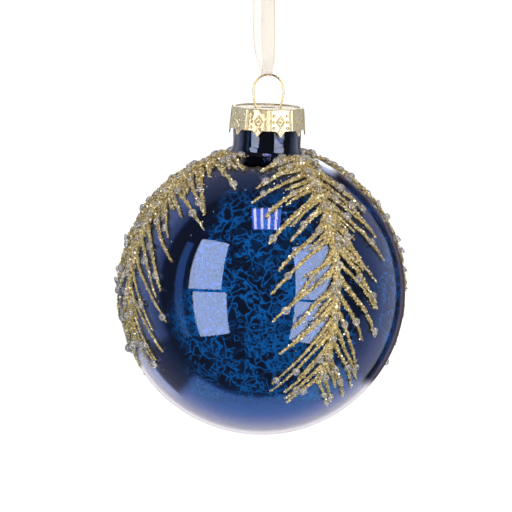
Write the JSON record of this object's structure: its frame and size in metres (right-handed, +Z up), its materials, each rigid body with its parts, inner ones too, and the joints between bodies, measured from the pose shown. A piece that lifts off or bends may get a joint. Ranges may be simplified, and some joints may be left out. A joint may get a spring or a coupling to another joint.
{
  "type": "glass ball ornament",
  "caption": "Blown glass ball with glitter fir sprigs and glass seed beads, a pressed cap, a sprung wire hanger and a tied organza ribbon to hang it by.",
  "frame": {"origin": "the point that the ribbon hangs from, under its knot; the ball's centre is 110.5 mm below it", "axes": "+Z up along the ball's axis, through its neck and cap; -Y towards the front, between the front and left sprigs; +X through the right side of the wire ring"},
  "size_m": [0.0811, 0.0803, 0.1625],
  "materials": {
    "blue_glass": "thin blown glass, deep blue, polished",
    "crackle_coating": "cobalt mercury-glass coating, crackled to near black",
    "cap_metal": "pale gold anodised sheet, pressed pattern, shiny",
    "wire": "bright gold-coloured spring wire",
    "organza": "sheer cream organza, slight sheen",
    "gold_glitter": "gold hexagonal glitter set in clear glue",
    "clear_bead": "clear glass seed beads"
  },
  "bodies": {
    "ribbon": {"ribbon_loop": "organza", "ribbon_knot": "organza"},
    "hanger": {"wire_hanger": "wire"},
    "cap": {"cap": "cap_metal"},
    "ball": {"glass_ball": "blue_glass", "crackle_coating": "crackle_coating", "glitter_sprig_front": "gold_glitter", "glitter_sprig_left": "gold_glitter", "glitter_sprig_back": "gold_glitter", "glitter_sprig_right": "gold_glitter", "seed_beads_front": "clear_bead", "seed_beads_left": "clear_bead", "seed_beads_back": "clear_bead", "seed_beads_right": "clear_bead"}
  },
  "joints": [
    {"name": "ring_swing", "type": "hinge", "parent": "ribbon", "child": "hanger", "pos_m": [0, 0, -0.05], "axis": [1, 0, 0], "range_deg": [-60, 60]},
    {"name": "cap_tilt", "type": "hinge", "parent": "hanger", "child": "cap", "pos_m": [0, 0, -0.0593], "axis": [1, 0, 0], "range_deg": [-6, 6]},
    {"name": "ball_pull_off", "type": "slide", "parent": "cap", "child": "ball", "axis": [0, 0, -1], "range_m": [0, 0.03]}
  ]
}
